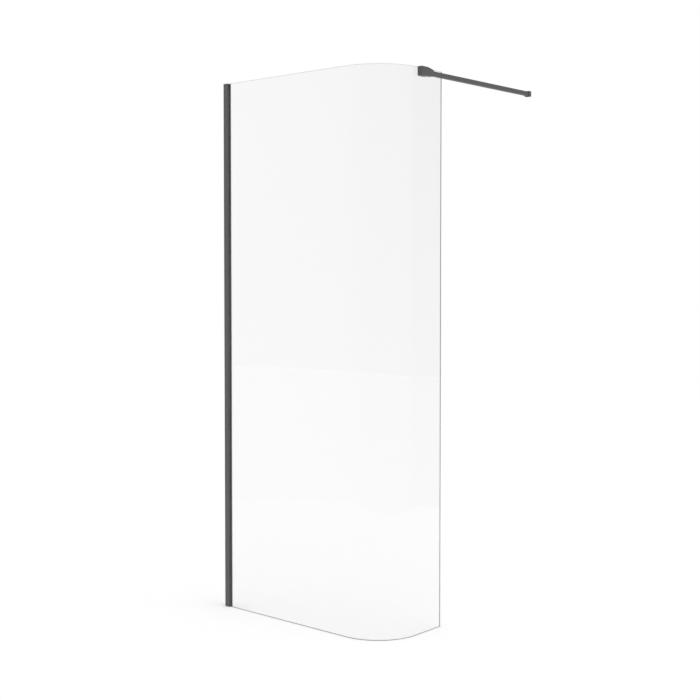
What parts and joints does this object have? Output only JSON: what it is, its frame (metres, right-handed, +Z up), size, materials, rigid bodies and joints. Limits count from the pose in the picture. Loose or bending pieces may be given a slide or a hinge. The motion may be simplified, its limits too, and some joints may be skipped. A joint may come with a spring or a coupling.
{
  "type": "curved walk-in shower screen",
  "caption": "Clear glass walk-in shower screen with a straight run, a quarter bend and a short return, a telescopic wall profile and a square brace bar.",
  "frame": {"origin": "on the side wall's face, at floor level, on the middle plane of the straight glass", "axes": "+X along the straight glass, away from the side wall; +Y along the return, towards the back wall; +Z up"},
  "size_m": [0.8084, 0.882, 2.0035],
  "materials": {
    "frame_metal": "satin graphite powder coat",
    "glass": "clear toughened, arrised edges",
    "gasket": "matt dark grey",
    "trim_plastic": "satin graphite moulding",
    "steel": "plain stainless",
    "nylon": "natural nylon"
  },
  "bodies": {
    "wall_side": {"wall_channel": "frame_metal", "channel_top_cap": "trim_plastic", "channel_bottom_cap": "trim_plastic", "lock_screws": "steel", "lock_screw_caps": "trim_plastic"},
    "screen": {"glass_profile": "frame_metal", "glass_panel": "glass", "outer_gasket": "gasket", "inner_gasket": "gasket", "setting_blocks": "nylon", "clamp_body": "frame_metal", "clamp_plate": "steel", "clamp_inner_pad": "gasket", "clamp_outer_pad": "gasket", "clamp_top_cushion": "gasket", "clamp_jaw_screws": "steel", "clamp_bar_screws": "steel"},
    "bar": {"support_bar": "frame_metal", "wall_bracket": "frame_metal", "bracket_screw": "steel"}
  },
  "joints": [
    {"name": "profile_slide", "type": "slide", "parent": "wall_side", "child": "screen", "axis": [1, 0, 0], "range_m": [0, 0.008]},
    {"name": "bar_slide", "type": "slide", "parent": "screen", "child": "bar", "axis": [0, 1, 0], "range_m": [0, 0.012]}
  ]
}
